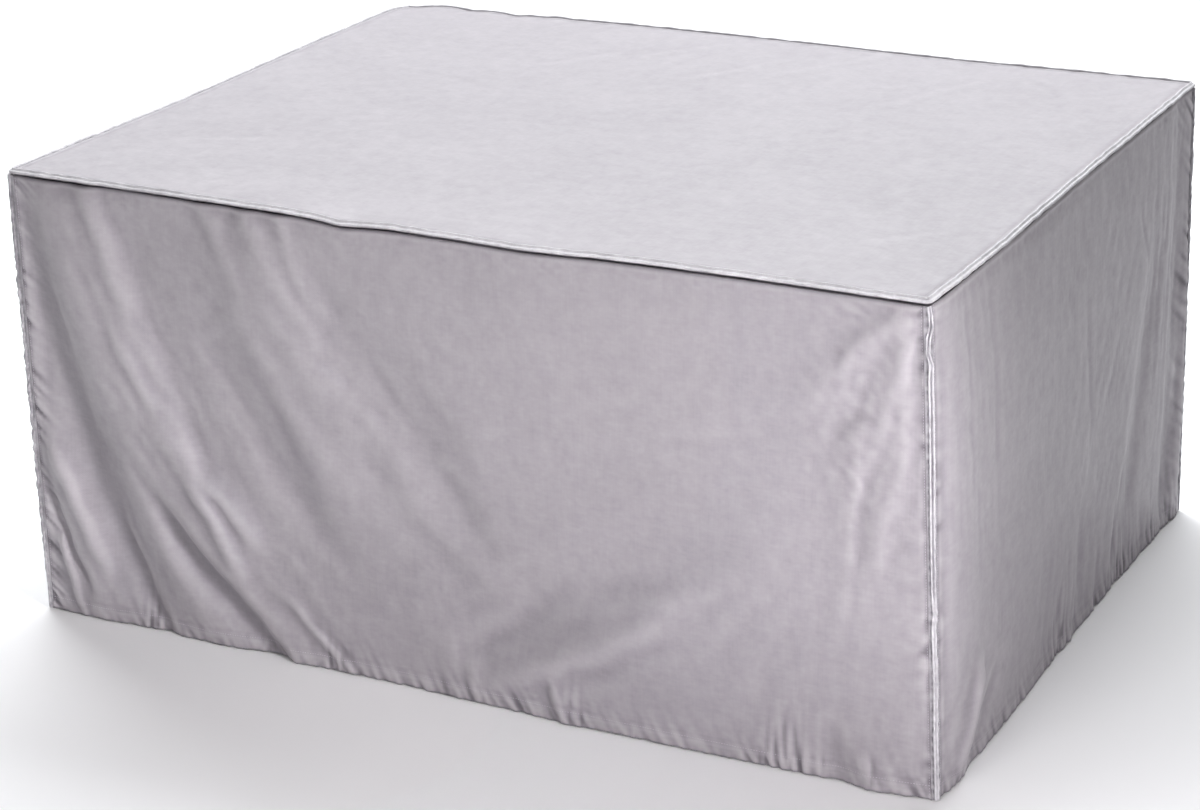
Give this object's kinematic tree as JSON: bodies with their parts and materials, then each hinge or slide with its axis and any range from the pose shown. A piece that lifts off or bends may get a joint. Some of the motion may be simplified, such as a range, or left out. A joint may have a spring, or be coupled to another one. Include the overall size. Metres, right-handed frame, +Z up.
{
  "type": "patio furniture cover",
  "caption": "Fitted box-shaped furniture cover of silver-grey coated cloth with raised welts along its top and corners and a stitched hem.",
  "frame": {"origin": "under the middle of the top panel, where the cover lies on the furniture", "axes": "+X along the long side towards the right panel, +Y towards the back panel, +Z up; the front panel faces -Y"},
  "size_m": [1.5601, 1.2142, 0.7482],
  "materials": {
    "coated_cloth": "silver-grey polyurethane-coated woven polyester, with a faint sheen",
    "welt_cloth": "the same coated cloth, rolled and stitched into a raised welt"
  },
  "bodies": {
    "root": {"top_panel": "coated_cloth", "front_panel": "coated_cloth", "right_panel": "coated_cloth", "back_panel": "coated_cloth", "left_panel": "coated_cloth", "top_welt": "welt_cloth", "corner_welt_front_left": "welt_cloth", "corner_welt_front_right": "welt_cloth", "corner_welt_back_left": "welt_cloth", "corner_welt_back_right": "welt_cloth"}
  },
  "joints": []
}
